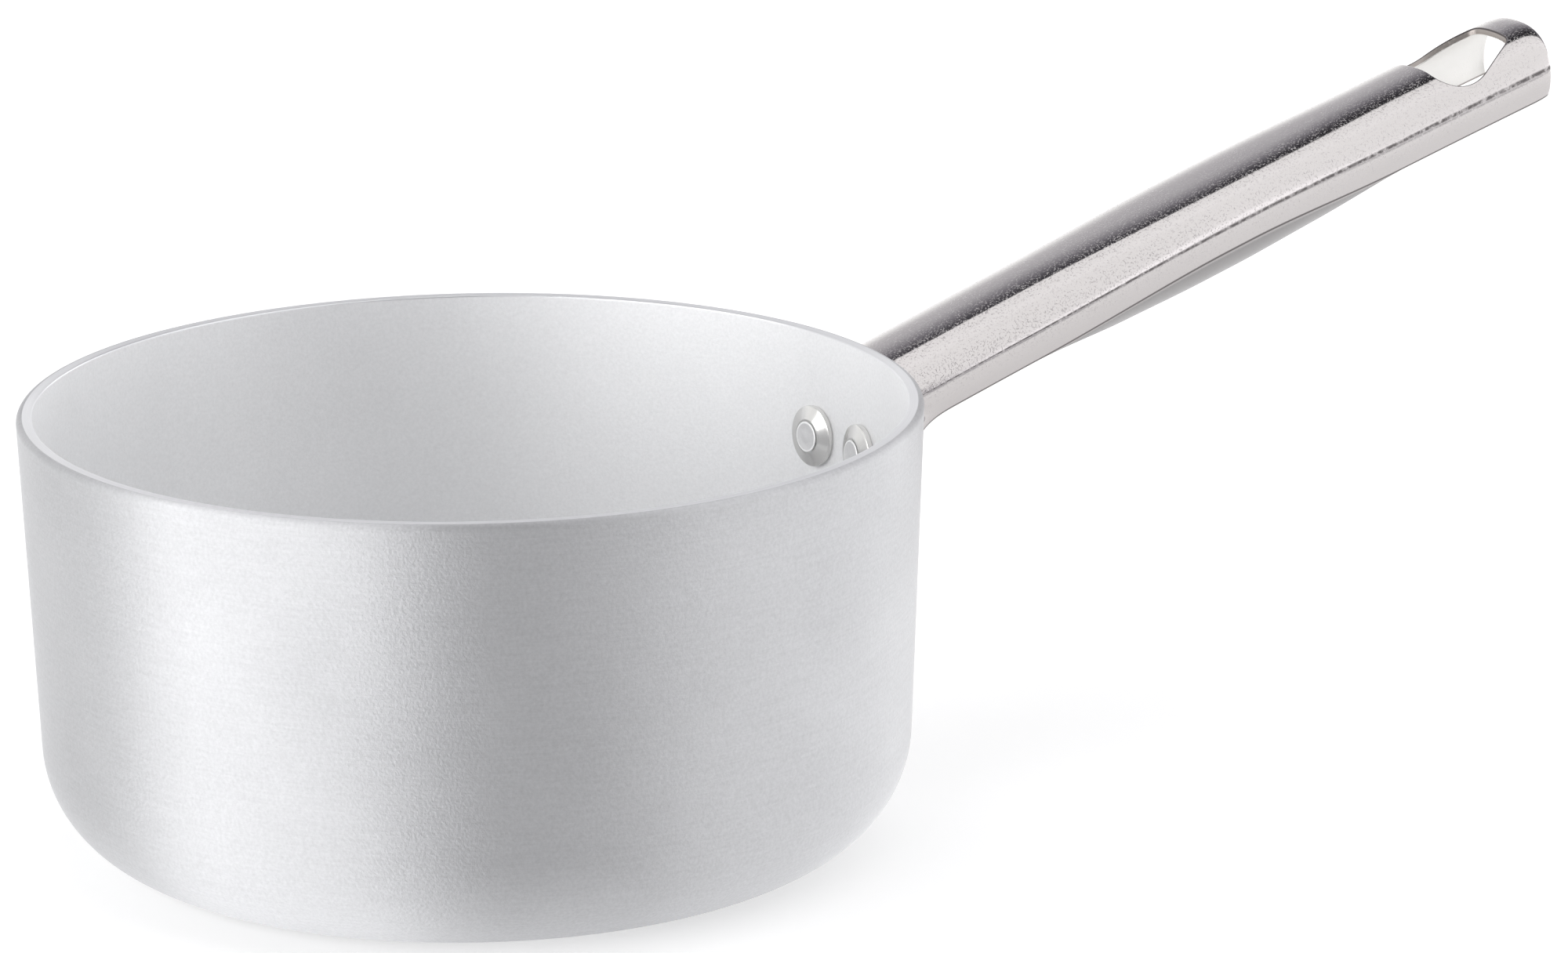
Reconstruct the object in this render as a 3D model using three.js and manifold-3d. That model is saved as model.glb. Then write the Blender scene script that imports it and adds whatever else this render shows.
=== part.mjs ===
// A small aluminium saucepan with one long stainless handle, riveted on.
// Millimetres, +Z up. The origin is the centre of the underside, and the handle runs along +X.
import * as THREE from "three";
import { mergeVertices } from "three/addons/utils/BufferGeometryUtils.js";
import Module from "manifold-3d";

// Pan body, pressed and turned from one aluminium disc
const RIM_RADIUS = 83;
const POT_HEIGHT = 83;
const WALL = 3;
const BASE = 3;
const DRAFT_DEG = 2.5;
const CORNER_RADIUS = 21.5;
const LEAST_INNER_ROUND = 1;
const RIM_ROUND = 1.1;

// Handle, one arched strip of stainless sheet that is open below
const SHEET = 1.5;
const HANDLE_REACH = 152.8;
const RIDGE_BELOW_RIM = 3.8;
const PITCH_ROOT_DEG = 18.8;
const PITCH_TIP_DEG = 15.7;
const HALF_WIDTH = 12.2;
const CROWN = 10;
const CROWN_SQUARENESS = 2.45;
const TIP_ROLL_LENGTH = 3;
const TIP_ROLL_DEPTH = 0.4;

// Sweep of the sheet from the ridge to its lower edge, and where it curls under as a grip
const WRAP_OPEN_DEG = 110;
const WRAP_GRIP_DEG = 165;
const CURL_START = 33;
const CURL_FULL = 76;
const UNCURL_START = 82;
const UNCURL_END = 118;

// Flare of the lower edges where the handle meets the pan
const FLARE_LENGTH = 15;
const FLARE_DROP = 6;
const FLARE_SPREAD = 6;
const FLARE_FROM_DEG = 55;
const FLARE_SHARPNESS = 3;

// Hanging hole, laid out on the flat strip: a rounded trapezium, wide towards the pan
const HOLE_FROM_TIP = 6.3;
const HOLE_LENGTH = 18;
const HOLE_NARROW = 11.8;
const HOLE_WIDE = 35;
const HOLE_NARROW_ROUND = 2.2;
const HOLE_WIDE_ROUND = 6.5;

// Saddle that carries the handle on the wall
const SADDLE = 1.8;
const SADDLE_MARGIN = 9.5;

// Rivets: two side by side and one below them
const RIVET_BELOW_RIM = 20;
const RIVET_SPACING = 17.2;
const LOWER_RIVET_DROP = 17;
const SHANK_RADIUS = 2.7;
const HEAD_RADIUS = 4.5;
const HEAD_HEIGHT = 2.4;
const TAIL_RADIUS = 3.2;
const TAIL_HEIGHT = 0.5;

// Coned washers under the rivet tails, inside the pan
const WASHER_RADIUS = 6.1;
const WASHER_EDGE = 0.6;
const WASHER_TOP_RADIUS = 3.9;
const WASHER_HEIGHT = 1.5;

// Clearances
const SEAT_GAP = 0.3;
const SHANK_GAP = 0.3;

// Fineness of the faceted solids
const POT_SEGMENTS = 72;
const ARC_STEPS = 4;
const HANDLE_STATIONS = 40;
const ARCH_STEPS = 22;
const ANGLE_STEP = 0.01;
const HOLE_RINGS = 4;
const SADDLE_STEPS = 36;
const RIVET_SEGMENTS = 20;
const WELD_DISTANCE = 1e-4;

// Finishes
const PAN_ALUMINIUM = { color: 0xc9cbce, roughness: 0.42 };
const HANDLE_STEEL = { color: 0xd6d2cc, roughness: 0.14 };
const RIVET_ALUMINIUM = { color: 0xb4b6b8, roughness: 0.5 };
const WASHER_STEEL = { color: 0xdcdad6, roughness: 0.18 };

const wasm = await Module();
wasm.setup();

const draft = THREE.MathUtils.degToRad(DRAFT_DEG);
const slope = Math.tan(draft);

// Outside radius of the straight wall at a height
function wallRadius(z) {
  return RIM_RADIUS - (POT_HEIGHT - z) * slope;
}

// A closed geometry as a solid, whichever way its faces were wound
function solidOf(geometry) {
  const bare = new THREE.BufferGeometry();
  bare.setAttribute("position", geometry.getAttribute("position"));
  bare.setIndex(geometry.getIndex());
  const merged = mergeVertices(bare, WELD_DISTANCE);
  const make = (triVerts) =>
    new wasm.Manifold(
      new wasm.Mesh({ numProp: 3, vertProperties: merged.attributes.position.array, triVerts }),
    );
  const triVerts = new Uint32Array(merged.index.array);
  const solid = make(triVerts);
  return solid.volume() < 0 ? make(triVerts.reverse()) : solid;
}

function geometryOf(solid) {
  const mesh = solid.getMesh();
  const geometry = new THREE.BufferGeometry();
  geometry.setAttribute("position", new THREE.BufferAttribute(mesh.vertProperties, 3));
  geometry.setIndex(new THREE.BufferAttribute(mesh.triVerts, 1));
  geometry.computeVertexNormals();
  return geometry;
}

// A profile of radius and height turned about Z
function turned(profile, segments) {
  const geometry = new THREE.LatheGeometry(profile.getPoints(ARC_STEPS), segments);
  return geometry.rotateX(Math.PI / 2);
}

// A profile of radius and distance turned about X
function turnedAlongX(profile) {
  const geometry = new THREE.LatheGeometry(profile.getPoints(ARC_STEPS), RIVET_SEGMENTS);
  return geometry.rotateZ(-Math.PI / 2);
}

// The rivet's own frame: local +X leaves the wall squarely, from a point on its outside
function onWall(z, across) {
  const radius = wallRadius(z);
  const turn = Math.asin(across / radius);
  const frame = new THREE.Group();
  frame.position.set(radius * Math.cos(turn), across, z);
  frame.rotation.set(0, draft, turn, "ZYX");
  frame.updateMatrix();
  return frame;
}

const upperRivetZ = POT_HEIGHT - RIVET_BELOW_RIM;
const rivetSpots = [
  { name: "upper_left", z: upperRivetZ, across: RIVET_SPACING / 2 },
  { name: "upper_right", z: upperRivetZ, across: -RIVET_SPACING / 2 },
  { name: "lower", z: upperRivetZ - LOWER_RIVET_DROP, across: 0 },
];

// Pan body: a flat base, a large corner, a drafted wall and a crowned rim
function potProfile() {
  const across = WALL / Math.cos(draft);
  const lean = 1 / Math.cos(draft);
  const innerRound = Math.max(CORNER_RADIUS - WALL, LEAST_INNER_ROUND);
  const cornerX = wallRadius(CORNER_RADIUS) - CORNER_RADIUS * lean;
  const innerZ = BASE + innerRound;
  const innerX = wallRadius(innerZ) - across - innerRound * lean;
  const rimZ = POT_HEIGHT - RIM_ROUND;
  const rimOuterX = wallRadius(rimZ) - RIM_ROUND * lean;
  const rimInnerX = wallRadius(rimZ) - across + RIM_ROUND * lean;
  const profile = new THREE.Path();
  profile.moveTo(0, 0);
  profile.lineTo(cornerX, 0);
  profile.absarc(cornerX, CORNER_RADIUS, CORNER_RADIUS, -Math.PI / 2, -draft, false);
  profile.absarc(rimOuterX, rimZ, RIM_ROUND, -draft, Math.PI / 2, false);
  profile.absarc(rimInnerX, rimZ, RIM_ROUND, Math.PI / 2, Math.PI - draft, false);
  profile.absarc(innerX, innerZ, innerRound, -draft, -Math.PI / 2, true);
  profile.lineTo(0, BASE);
  return profile;
}

// A round hole for a rivet, along the rivet's own axis
function rivetHole(spot) {
  const span = WALL + SADDLE + HEAD_HEIGHT + 4 * SEAT_GAP;
  const geometry = new THREE.CylinderGeometry(
    SHANK_RADIUS + SHANK_GAP,
    SHANK_RADIUS + SHANK_GAP,
    2 * span,
    RIVET_SEGMENTS,
  );
  geometry.rotateZ(Math.PI / 2);
  geometry.applyMatrix4(onWall(spot.z, spot.across).matrix);
  return solidOf(geometry);
}

function withRivetHoles(solid) {
  return rivetSpots.reduce((left, spot) => left.subtract(rivetHole(spot)), solid);
}

// Height of the handle's ridge at a level distance from the rim
function ridgeHeight(w) {
  const rise = Math.tan(THREE.MathUtils.degToRad(PITCH_ROOT_DEG));
  const tipRise = Math.tan(THREE.MathUtils.degToRad(PITCH_TIP_DEG));
  const bend = (tipRise - rise) / (2 * HANDLE_REACH);
  return POT_HEIGHT - RIDGE_BELOW_RIM + rise * w + bend * w * w;
}

// Half sweep of the sheet, from the ridge down to its lower edge
function wrapAngle(w) {
  const curl = THREE.MathUtils.smoothstep(w, CURL_START, CURL_FULL);
  const uncurl = 1 - THREE.MathUtils.smoothstep(w, UNCURL_START, UNCURL_END);
  const degrees = WRAP_OPEN_DEG + (WRAP_GRIP_DEG - WRAP_OPEN_DEG) * Math.min(curl, uncurl);
  return THREE.MathUtils.degToRad(degrees);
}

// How far the outline has rolled in at the very tip
function tipRoll(w) {
  const along = Math.max(0, w - (HANDLE_REACH - TIP_ROLL_LENGTH)) / TIP_ROLL_LENGTH;
  return TIP_ROLL_DEPTH * (1 - Math.sqrt(Math.max(0, 1 - along * along)));
}

// A point of the sheet's outside in the upright section at w, by its angle from the ridge:
// a squared arch above the widest line, an ellipse below it, and a flare beside the pan
function archPoint(w, angle) {
  const size = Math.abs(angle);
  const side = Math.sign(angle);
  const roll = tipRoll(w);
  const width = HALF_WIDTH - roll;
  const crown = CROWN - roll;
  const power = size < Math.PI / 2 ? 2 / CROWN_SQUARENESS : 1;
  const lift = Math.sign(Math.cos(size)) * Math.abs(Math.cos(size)) ** power;
  const reach = Math.sin(size) ** power;
  const near = Math.max(0, 1 - Math.max(0, w) / FLARE_LENGTH) ** FLARE_SHARPNESS;
  const flareFrom = THREE.MathUtils.degToRad(FLARE_FROM_DEG);
  const low = THREE.MathUtils.smoothstep(size, flareFrom, wrapAngle(w)) * near;
  const y = side * (width * reach + FLARE_SPREAD * low);
  const z = ridgeHeight(w) - roll - crown + crown * lift - FLARE_DROP * low;
  return new THREE.Vector2(y, z);
}

// The outward direction of that section
function archNormal(w, angle) {
  const tangent = archPoint(w, angle + ANGLE_STEP).sub(archPoint(w, angle - ANGLE_STEP));
  return new THREE.Vector2(-tangent.y, tangent.x).normalize();
}

// The sheet at w and an angle, set back from its outside by a depth
function sheetPoint(w, angle, depth) {
  const p = archPoint(w, angle).addScaledVector(archNormal(w, angle), -depth);
  return [RIM_RADIUS + w, p.x, p.y];
}

// A grid of rings of equal length, joined along their length and closed with a cap at each end
function solidOfRings(rings, capTriangles) {
  const count = rings[0].length;
  const faces = [];
  for (let i = 0; i + 1 < rings.length; i++)
    for (let j = 0; j < count; j++) {
      const next = (j + 1) % count;
      const a = i * count + j;
      const b = i * count + next;
      faces.push(a, b, a + count, b, b + count, a + count);
    }
  const last = (rings.length - 1) * count;
  for (const [a, b, c] of capTriangles) {
    faces.push(a, c, b);
    faces.push(last + a, last + b, last + c);
  }
  const geometry = new THREE.BufferGeometry();
  geometry.setAttribute("position", new THREE.Float32BufferAttribute(rings.flat(2), 3));
  geometry.setIndex(faces);
  return solidOf(geometry);
}

// The arched strip from inside the wall line to the tip
function archedStrip() {
  const rings = [];
  const rootHalfWidth = HALF_WIDTH + FLARE_SPREAD;
  const roundAway = RIM_RADIUS - Math.sqrt(RIM_RADIUS ** 2 - rootHalfWidth ** 2);
  const start = -(roundAway + POT_HEIGHT * slope + WALL);
  for (let i = 0; i <= HANDLE_STATIONS; i++) {
    const w = THREE.MathUtils.lerp(start, HANDLE_REACH, i / HANDLE_STATIONS);
    const wrap = wrapAngle(w);
    const outside = [];
    const inside = [];
    for (let j = 0; j <= ARCH_STEPS; j++) {
      const angle = wrap * ((2 * j) / ARCH_STEPS - 1);
      outside.push(sheetPoint(w, angle, 0));
      inside.unshift(sheetPoint(w, angle, SHEET));
    }
    rings.push([...outside, ...inside]);
  }
  const caps = [];
  const opposite = 2 * ARCH_STEPS + 1;
  for (let j = 0; j < ARCH_STEPS; j++) {
    caps.push([j, j + 1, opposite - j]);
    caps.push([j + 1, opposite - j - 1, opposite - j]);
  }
  return solidOfRings(rings, caps);
}

// A polygon whose corners are rounded, as a list of points
function roundedOutline(corners) {
  const shape = new THREE.Shape();
  corners.forEach(({ at, round }, i) => {
    const before = corners.at(i - 1).at;
    const after = corners[(i + 1) % corners.length].at;
    const back = before.clone().sub(at).normalize();
    const ahead = after.clone().sub(at).normalize();
    const half = back.angleTo(ahead) / 2;
    const trim = round / Math.tan(half);
    const enter = at.clone().addScaledVector(back, trim);
    const leave = at.clone().addScaledVector(ahead, trim);
    if (i === 0) shape.moveTo(enter.x, enter.y);
    else shape.lineTo(enter.x, enter.y);
    const toCentre = back.clone().add(ahead).normalize();
    const centre = at.clone().addScaledVector(toCentre, round / Math.sin(half));
    const from = enter.clone().sub(centre).angle();
    const to = leave.clone().sub(centre).angle();
    shape.absarc(centre.x, centre.y, round, from, to, back.cross(ahead) > 0);
  });
  return shape.getPoints(ARC_STEPS).slice(0, -1);
}

// The angle from the ridge at which the arch has a length of strip behind it
function angleAtLength(w, length) {
  let angle = 0;
  let left = Math.abs(length);
  while (left > 0 && angle < wrapAngle(w)) {
    const walked = archPoint(w, angle).distanceTo(archPoint(w, angle + ANGLE_STEP));
    angle += ANGLE_STEP * Math.min(1, left / walked);
    left -= walked;
  }
  return Math.sign(length) * angle;
}

// The punched piece of the hanging hole, square to the sheet all round
function hangingHole() {
  const near = HANDLE_REACH - HOLE_FROM_TIP;
  const far = near - HOLE_LENGTH;
  const outline = roundedOutline([
    { at: new THREE.Vector2(far, -HOLE_WIDE / 2), round: HOLE_WIDE_ROUND },
    { at: new THREE.Vector2(near, -HOLE_NARROW / 2), round: HOLE_NARROW_ROUND },
    { at: new THREE.Vector2(near, HOLE_NARROW / 2), round: HOLE_NARROW_ROUND },
    { at: new THREE.Vector2(far, HOLE_WIDE / 2), round: HOLE_WIDE_ROUND },
  ]);
  const middle = new THREE.Vector2((near + far) / 2, 0);
  const ringAt = (share, depth) =>
    outline.map((p) => {
      const q = middle.clone().lerp(p, share);
      return sheetPoint(q.x, angleAtLength(q.x, q.y), depth);
    });
  const above = -SHEET;
  const below = 2 * SHEET;
  const shares = Array.from({ length: HOLE_RINGS }, (_, i) => (i + 1) / HOLE_RINGS);
  const rings = [
    ...shares.map((share) => ringAt(share, above)),
    ...shares.toReversed().map((share) => ringAt(share, below)),
  ];
  const caps = [];
  for (let j = 1; j + 1 < outline.length; j++) caps.push([0, j, j + 1]);
  return solidOfRings(rings, caps);
}

// A shell round the pan's wall, between two distances from its outside
function wallShell(inner, outer) {
  const lean = 1 / Math.cos(draft);
  const bottom = upperRivetZ - LOWER_RIVET_DROP - 2 * SADDLE_MARGIN;
  const top = ridgeHeight(0) + CROWN;
  const profile = new THREE.Path();
  const innerRadius = (z) => (inner === null ? 0 : wallRadius(z) + inner * lean);
  profile.moveTo(innerRadius(bottom), bottom);
  profile.lineTo(wallRadius(bottom) + outer * lean, bottom);
  profile.lineTo(wallRadius(top) + outer * lean, top);
  profile.lineTo(innerRadius(top), top);
  if (inner !== null) profile.lineTo(innerRadius(bottom), bottom);
  return solidOf(turned(profile, POT_SEGMENTS));
}

// The saddle: a shield with a round corner about each rivet, curved to the wall
function saddle() {
  const corners = rivetSpots.map(({ z, across }) => new THREE.Vector2(across, z));
  const middle = corners
    .reduce((sum, p) => sum.add(p), new THREE.Vector2())
    .divideScalar(corners.length);
  const outline = [];
  for (let i = 0; i < SADDLE_STEPS; i++) {
    const turn = (2 * Math.PI * i) / SADDLE_STEPS;
    const direction = new THREE.Vector2(Math.cos(turn), Math.sin(turn));
    const furthest = corners.reduce((best, p) =>
      p.clone().sub(middle).dot(direction) > best.clone().sub(middle).dot(direction) ? p : best,
    );
    outline.push(furthest.clone().addScaledVector(direction, SADDLE_MARGIN));
  }
  const depth = RIM_RADIUS + 2 * (SEAT_GAP + SADDLE);
  const block = new THREE.ExtrudeGeometry(new THREE.Shape(outline), {
    depth,
    bevelEnabled: false,
  });
  block.applyMatrix4(
    new THREE.Matrix4().makeBasis(
      new THREE.Vector3(0, 1, 0),
      new THREE.Vector3(0, 0, 1),
      new THREE.Vector3(1, 0, 0),
    ),
  );
  return solidOf(block).intersect(wallShell(SEAT_GAP, SEAT_GAP + SADDLE));
}

// Handle: the strip, trimmed to the wall and joined to its saddle
function handleSolid() {
  const strip = archedStrip().subtract(hangingHole()).subtract(wallShell(null, SEAT_GAP));
  return withRivetHoles(strip.add(saddle()));
}

// How far the concave wall stands in from a flat disc's edge
function washerSag(z) {
  const radius = wallRadius(z) - WALL;
  return radius - Math.sqrt(radius * radius - WASHER_RADIUS * WASHER_RADIUS);
}

// Washer: a flat back on the wall, a short edge and a cone up to a flat top
function washerProfile() {
  const bore = SHANK_RADIUS + SHANK_GAP;
  const profile = new THREE.Path();
  profile.moveTo(bore, 0);
  profile.lineTo(bore, -WASHER_HEIGHT);
  profile.lineTo(WASHER_TOP_RADIUS, -WASHER_HEIGHT);
  profile.lineTo(WASHER_RADIUS, -WASHER_EDGE);
  profile.lineTo(WASHER_RADIUS, 0);
  profile.lineTo(bore, 0);
  return profile;
}

// Rivet: a domed head outside the saddle, a shank, and a flat tail over the washer
function rivetProfile(washerBack) {
  const headSeat = SADDLE + 2 * SEAT_GAP;
  const tailSeat = washerBack - WASHER_HEIGHT - SEAT_GAP;
  const profile = new THREE.Path();
  profile.moveTo(0, tailSeat - TAIL_HEIGHT);
  profile.lineTo(TAIL_RADIUS, tailSeat - TAIL_HEIGHT);
  profile.lineTo(TAIL_RADIUS, tailSeat);
  profile.lineTo(SHANK_RADIUS, tailSeat);
  profile.lineTo(SHANK_RADIUS, headSeat);
  profile.lineTo(HEAD_RADIUS, headSeat);
  profile.absellipse(0, headSeat, HEAD_RADIUS, HEAD_HEIGHT, 0, Math.PI / 2, false, 0);
  return profile;
}

// A solid as a named mesh of bare metal
function piece(name, solid, finish) {
  const material = new THREE.MeshStandardMaterial({ ...finish, metalness: 1 });
  const mesh = new THREE.Mesh(geometryOf(solid), material);
  mesh.name = name;
  return mesh;
}

const pan = new THREE.Group();
const body = withRivetHoles(solidOf(turned(potProfile(), POT_SEGMENTS)));
pan.add(piece("pot_body", body, PAN_ALUMINIUM));
pan.add(piece("handle", handleSolid(), HANDLE_STEEL));

for (const spot of rivetSpots) {
  const washerBack = -(WALL + washerSag(spot.z) + SEAT_GAP);
  const rivet = solidOf(turnedAlongX(rivetProfile(washerBack)));
  const washer = solidOf(turnedAlongX(washerProfile()));
  const seat = onWall(spot.z, spot.across);
  seat.add(piece("rivet_" + spot.name, rivet, RIVET_ALUMINIUM));
  const washerMesh = piece("washer_" + spot.name, washer, WASHER_STEEL);
  washerMesh.position.x = washerBack;
  seat.add(washerMesh);
  pan.add(seat);
}

export default pan;
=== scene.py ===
"""A small aluminium saucepan with one long polished steel handle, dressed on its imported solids.

Metres, +Z up. The origin is the centre of the underside, and the handle runs along +X.
"""

import math

import bpy
import numpy as np
from mathutils import Matrix, Vector


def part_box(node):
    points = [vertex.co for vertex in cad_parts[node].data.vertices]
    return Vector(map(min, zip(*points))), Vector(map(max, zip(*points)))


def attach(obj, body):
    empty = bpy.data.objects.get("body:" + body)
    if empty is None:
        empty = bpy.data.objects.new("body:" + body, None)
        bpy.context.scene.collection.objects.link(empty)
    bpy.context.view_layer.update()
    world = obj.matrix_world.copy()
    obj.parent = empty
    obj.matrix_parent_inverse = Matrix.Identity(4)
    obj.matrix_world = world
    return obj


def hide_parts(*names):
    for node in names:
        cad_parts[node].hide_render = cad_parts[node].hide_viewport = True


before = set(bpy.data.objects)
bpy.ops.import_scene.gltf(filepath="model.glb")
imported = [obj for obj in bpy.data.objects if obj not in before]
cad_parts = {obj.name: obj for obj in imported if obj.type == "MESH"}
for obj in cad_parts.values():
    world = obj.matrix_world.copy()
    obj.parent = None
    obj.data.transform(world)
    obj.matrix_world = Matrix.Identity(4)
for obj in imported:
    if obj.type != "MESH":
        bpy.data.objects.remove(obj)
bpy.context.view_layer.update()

MM = 0.001
QUARTER = math.pi / 2

# Pan body
WALL = 3 * MM
BASE = 3 * MM
DRAFT = math.radians(2.5)
CORNER_RADIUS = 21.5 * MM
RIM_ROUND = 1.1 * MM
RIM_INNER_ROUND = 0.3 * MM

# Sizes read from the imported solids: the rim's round is drawn in a little from the wall's slanted line
RIM_DRAWN_IN = RIM_ROUND * (math.tan(DRAFT) + 1 / math.cos(DRAFT) - 1)
RIM_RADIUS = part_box("pot_body")[1].x + RIM_DRAWN_IN
POT_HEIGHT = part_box("pot_body")[1].z
HANDLE_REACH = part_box("handle")[1].x - RIM_RADIUS

# Handle sheet and the line of its ridge
SHEET = 1.5 * MM
RIDGE_BELOW_RIM = 3.8 * MM
RISE_ROOT = math.tan(math.radians(18.8))
RISE_TIP = math.tan(math.radians(15.7))
HALF_WIDTH = 12.2 * MM
CROWN = 10 * MM
CROWN_SQUARENESS = 2.45
GRIP_SQUARENESS = 3.0
ELLIPSE_BELOW = (math.radians(60), math.radians(120))
TIP_ROLL_LENGTH = 4 * MM
TIP_ROLL_DEPTH = 0.6 * MM
EDGE_LIP = 0.35 * MM

# Sweep of the sheet round its section, and where it curls under as a grip
WRAP_OPEN = math.radians(110)
WRAP_GRIP = math.radians(165)
CURL = (33 * MM, 76 * MM)
UNCURL = (82 * MM, 118 * MM)

# The fold along the grip's lower corner, and the flap that runs on from it under the grip
FOLD_RISE = math.radians(11)
FOLD_TURN = math.radians(18)
FOLD_LENGTH = 0.5 * MM
FLAP_TURN = math.radians(48)
FLAP_LENGTH = 13.4 * MM
FLAP_TABLE_LENGTH = 1.2 * FLAP_LENGTH

# The painted dark reflection along each side: its angle from the ridge, half its width at the root
# and at the tip, and a count of half widths that is far from it
CREASE_ANGLE = math.radians(79.5)
CREASE_HALF_WIDTH = (0.1 * MM, 0.55 * MM)
NO_CREASE = -100

# What each point of the handle carries for its finish
HANDLE_MARKS = ("past_fold", "cut", "inside", "lip", "past_crease")

# Flare of the lower edges beside the pan
FLARE_LENGTH = 15 * MM
FLARE_DROP = 6 * MM
FLARE_SPREAD = 6 * MM
FLARE_FROM = math.radians(95)
FLARE_SHARPNESS = 3

# Hanging hole, laid out on the flat strip, and the block of the strip that it is let into
HOLE_FROM_TIP = 6.3 * MM
HOLE_LENGTH = 18 * MM
HOLE_NARROW = 11.8 * MM
HOLE_WIDE = 33.2 * MM
HOLE_NARROW_ROUND = 2.2 * MM
HOLE_WIDE_ROUND = 6.5 * MM
HOLE_BORDER = 2 * MM
HOLE_HALF_BLOCK = 15 * MM

# Saddle, rivets and washers
SADDLE = 1.8 * MM
SADDLE_MARGIN = 9.5 * MM
SADDLE_EDGE = 0.5 * MM
SEAT_GAP = 0.3 * MM
RIVET_BELOW_RIM = 20 * MM
RIVET_SPACING = 17.2 * MM
LOWER_RIVET_DROP = 17 * MM
SHANK_RADIUS = 2.7 * MM
HEAD_RADIUS = 4.5 * MM
HEAD_HEIGHT = 2.4 * MM
TAIL_RADIUS = 2.95 * MM
TAIL_HEIGHT = 0.26 * MM
TAIL_SOFT = 0.2 * MM
TAIL_DISH = 0.06 * MM
WASHER_BORE = 2.85 * MM
WASHER_RADIUS = 5.8 * MM
WASHER_EDGE = 0.6 * MM
WASHER_TOP_RADIUS = 3.3 * MM
WASHER_HEIGHT = 1.5 * MM
WASHER_ROUNDS = (0.05 * MM, 0.1 * MM, 0.15 * MM, 0.25 * MM, 0.1 * MM)
CLOSE_FIT = 0.03 * MM

# How finely the surfaces are divided
PAN_SIDES = 288
PAN_CORNER_STEPS = 28
PAN_WALL_STEPS = 22
PAN_FLOOR_STEPS = 16
RIM_OUTER_STEPS = 10
RIM_INNER_STEPS = 6
RIM_FLAT_STEPS = 3
HANDLE_ROWS = 190
LIP_STEPS = 6
HOLE_RINGS = 14
HOLE_CORNER_STEPS = 60
SADDLE_SIDES = 144
SADDLE_RINGS = 16
RIVET_SIDES = 64
RIVET_TAIL_STEPS = 14
RIVET_HEAD_STEPS = 16
RIVET_SEAT_STEPS = 2
RIVET_SHANK_STEPS = 4
WASHER_SIDES = 96
WASHER_LEG_STEPS = 3
SOFT_CORNER_STEPS = 6

# Tables of lengths along the flap, the arch, the strip and the hole's outline, and the stretch about the
# rim in which the sheet's root is looked for
FLAP_STEPS = 1500
ARCH_STEPS = 900
ARCH_TABLE_ANGLE = math.radians(150)
STRIP_STEPS = 2000
OUTLINE_STEPS = 2000
ROOT_SEARCH = (-12 * MM, 10 * MM)
HALVINGS = 40

# Extra rows of the handle's strip at its root, hole and tip, and the share of its length they spread over,
# and the power by which rings crowd to the hole
ROOT_CROWDING = (2, 0.06)
HOLE_CROWDING = (1.5, 0.09)
TIP_CROWDING = (3, 0.02)
HOLE_RING_CROWDING = 1.6

# Where the photograph was taken from: it looks past the pan's axis, with the handle turned away
HANDLE_TURN = math.radians(28.75)
CAMERA_DISTANCE = 1.387
CAMERA_HEIGHT = 0.4517
CAMERA_YAW = 0.0412
CAMERA_PITCH = 0.2699
CAMERA_ROLL = -0.0101
CAMERA_LENS = 180
SENSOR_WIDTH = 36

# Noise of the finishes, and the turn of their brushed highlights
NOISE_DETAIL = 3.0
LINES_HARSHNESS = 0.6
GRAIN_HARSHNESS = 0.65
CLOUD_HARSHNESS = 0.55
CLOUDS_PER_GRAIN = 0.02
QUARTER_TURN = 0.25

# Where the handle's finish changes: grain levels of the pits, lengths past the fold for its painted dark
# reflections, half widths of the crease's painted dark line, and the ripple that breaks that line up
PIT_FADE = (0.57, 0.68)
UNDER_FADE = (0.0, 1 * MM)
FOLD_FADE = (0.1 * MM, 0.4 * MM)
CREASE_FADE = (0.4, 1.2)
CREASE_BREAKS = (0.35, 0.55)
CREASE_STRENGTH = (0.35, 1.0)
# Colour and roughness of the painted dark reflections along the crease and the fold
PAINTED_DARK_REFLECTION = {"color": (0.14, 0.13, 0.13), "roughness": 0.4}

# Soft boxes, which face one point: degrees to the right of the camera and above the horizon, metres, and
# the brightness of their faces
SOFTBOX_AIM = (0.05, 0, 0.06)
SOFTBOXES = {
    "softbox_over": dict(azimuth=74, elevation=55, distance=1.06, width=1.2, height=2.9, brightness=1.32),
    "softbox_left": dict(azimuth=-53, elevation=16, distance=1.2, width=1.7, height=0.85, brightness=2.95),
    "softbox_back": dict(azimuth=122, elevation=9, distance=1.3, width=1.3, height=0.5, brightness=1.3),
}

# The room: grey levels in front by the sine of the height, and behind by the cosine of the angle to a dark
# panel. The panel and the middle of the back lie at angles in degrees. Shades lose some red and green.
FRONT_LEVELS = ((0.0, 0.6), (0.06, 0.45), (0.14, 0.1), (0.4, 0.05))
BACK_LEVELS = ((0.55, 1.0), (0.733, 0.74), (0.874, 0.35), (0.95, 0.1), (0.985, 0.03))
PANEL_AIM = (150, 65)
BACK_AIM = (-165, 0)
BACK_FADE = (-0.3, 0.3)
BACK_LIFT = 0.4
LIFT_HEIGHT = (0.0, 0.4)
LIFT_FADE = (0.0, 0.5)
SHADE_TINT = (0.11, 0.15)

# Floor, with its glow over a distance towards the back
FLOOR_REACH = 4.0
FLOOR_SIDES = 64
FLOOR_DROP = 0.05 * MM
FLOOR_PAPER = (0.62, 0.62, 0.62)
FLOOR_GLOW = (0.5, 0.77)
FLOOR_GLOW_REACH = (0.0, 0.9)


# Shapes from numpy


def smooth(value, low, high):
    """0 below low, 1 above high, and 3t^2 - 2t^3 of the share t between them."""
    t = np.clip((value - low) / (high - low), 0, 1)
    return t * t * (3 - 2 * t)


def full_turn(count):
    """Even angles once round."""
    return np.linspace(0, 2 * math.pi, count, endpoint=False)


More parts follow.
